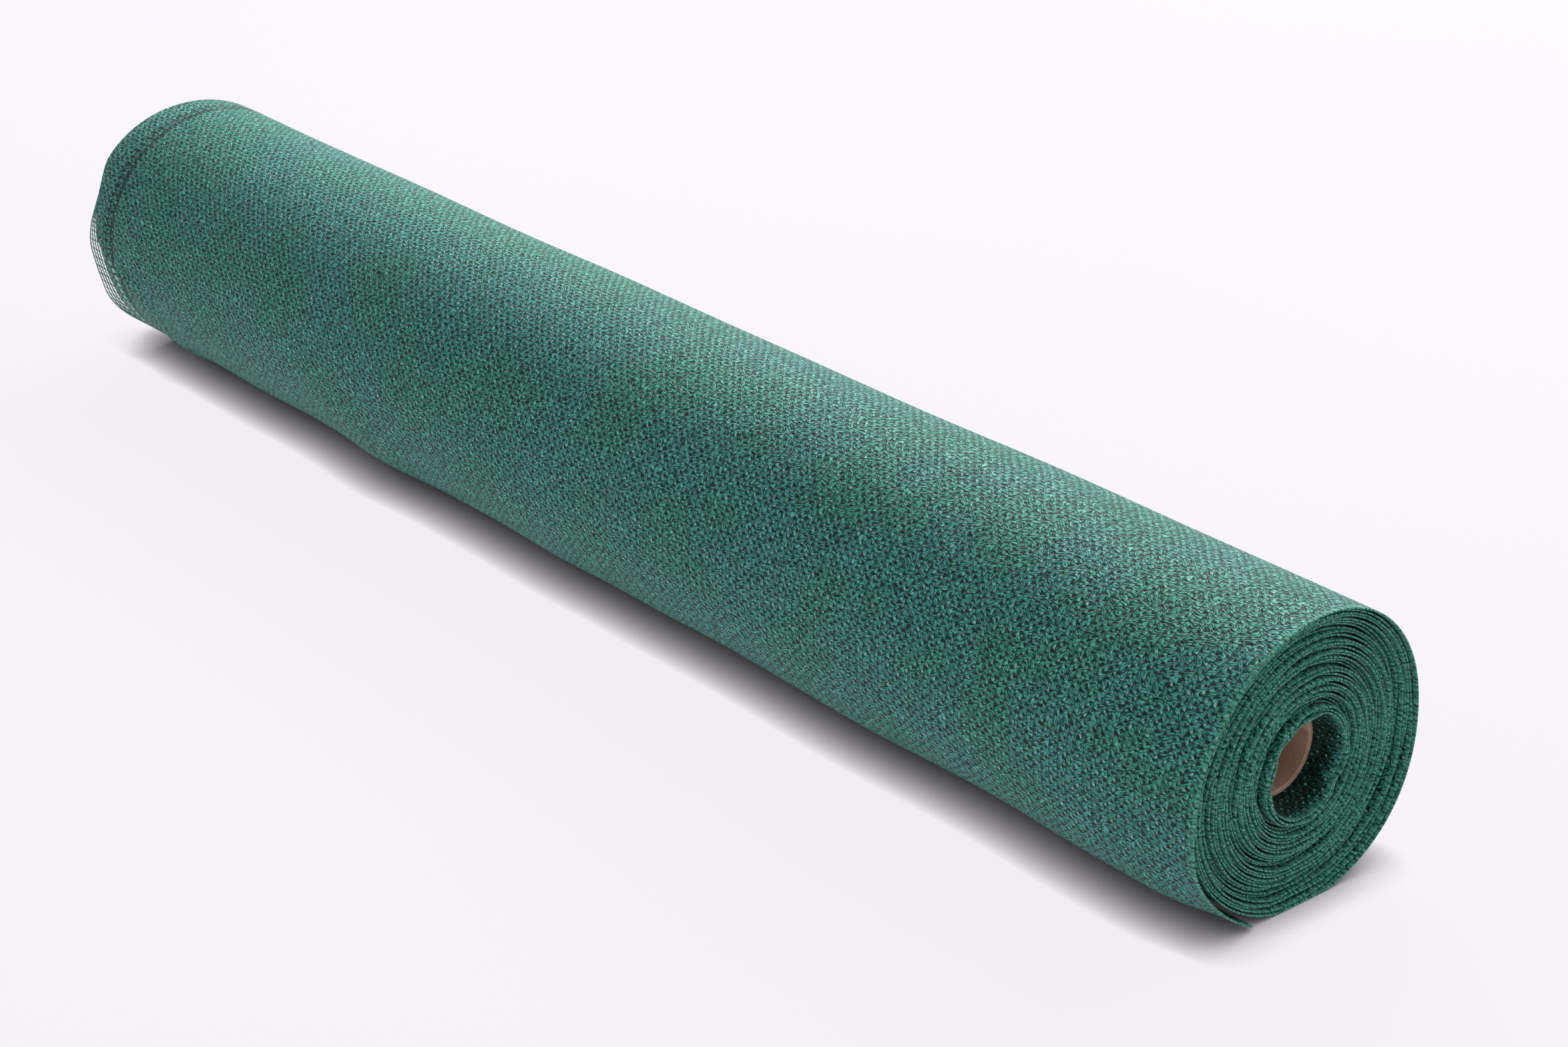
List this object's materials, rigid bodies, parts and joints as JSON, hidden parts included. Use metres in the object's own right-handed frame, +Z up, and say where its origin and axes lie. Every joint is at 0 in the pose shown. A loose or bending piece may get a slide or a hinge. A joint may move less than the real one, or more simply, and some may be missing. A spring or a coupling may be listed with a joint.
{
  "type": "roll of shade cloth",
  "caption": "Roll of knitted green shade cloth, folded once along its length and wound on a cardboard core, lying on its side with the cut end loose",
  "frame": {"origin": "on the floor under the middle of the part's box", "axes": "+X along the roll towards the folded edges and the near face, -Y the side where the cut end hangs loose, +Z up"},
  "size_m": [0.93, 0.151, 0.1479],
  "materials": {
    "cloth": "knitted polyethylene tape, satin",
    "core_board": "brown kraft board, matte"
  },
  "bodies": {
    "root": {"roll": "cloth", "loose_end": "cloth", "core": "core_board"}
  },
  "joints": []
}
